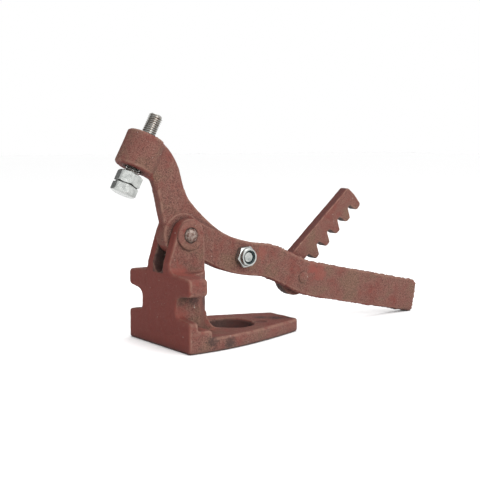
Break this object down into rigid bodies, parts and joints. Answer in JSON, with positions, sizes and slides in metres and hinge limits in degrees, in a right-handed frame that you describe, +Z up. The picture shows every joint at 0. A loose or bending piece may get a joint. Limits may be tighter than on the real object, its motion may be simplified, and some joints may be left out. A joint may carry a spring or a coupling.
{
  "type": "ground clamp",
  "caption": "Cast lever clamp for a welding earth lead: a base with a flat jaw face, notched lugs and a holed foot, a hinged handle with a jaw screw, and a toothed rack on a rivet.",
  "frame": {"origin": "in the plane of the base's underside, half way through the jaw plate and half way between its lugs", "axes": "+X from the jaw plate towards the tip of the foot and the end of the handle, +Y across the base towards the side the toothed rack is on, +Z up"},
  "size_m": [0.3365, 0.0948, 0.1902],
  "materials": {
    "primed_casting": "rough red-oxide primer over a sand casting",
    "primed_rack": "rough red-oxide primer",
    "primed_washer": "thin red-oxide primer over pitted steel",
    "primed_rivet": "thin red-oxide primer, worn on the head",
    "bare_steel": "dull, lightly rusted, hammered end",
    "zinc_plate": "bright zinc plate",
    "nylon": "dark green-blue nylon"
  },
  "bodies": {
    "base": {"base_casting": "primed_casting", "pivot_pin": "bare_steel", "pivot_washer": "primed_washer"},
    "lever": {"lever_casting": "primed_casting", "cable_bolt": "zinc_plate", "cable_nut": "zinc_plate", "cable_nut_insert": "nylon", "rack_rivet": "primed_rivet"},
    "lock_nut": {"lock_nut": "zinc_plate"},
    "adjusting_bolt": {"adjusting_bolt": "zinc_plate"},
    "rack": {"toothed_rack": "primed_rack"}
  },
  "joints": [
    {"name": "lever_pivot", "type": "hinge", "parent": "base", "child": "lever", "pos_m": [0.01, 0, 0.0915], "axis": [0, -1, 0], "range_deg": [0, 90]},
    {"name": "rack_pivot", "type": "hinge", "parent": "lever", "child": "rack", "pos_m": [0.14, 0, 0.0449], "axis": [0, -1, 0], "range_deg": [-65, 94]},
    {"name": "screw_travel", "type": "slide", "parent": "lever", "child": "lock_nut", "axis": [-0.4602, 0, -0.8878], "range_m": [-0.0035, 0.008]},
    {"name": "screw_turn", "type": "hinge", "parent": "lock_nut", "child": "adjusting_bolt", "pos_m": [-0.0103, 0, 0.1879], "axis": [-0.4602, 0, -0.8878], "range_deg": [-725, 1650]}
  ],
  "couplings": [
    {"joint": "screw_turn", "follows": "screw_travel", "rad_per_m": 3590.4}
  ]
}
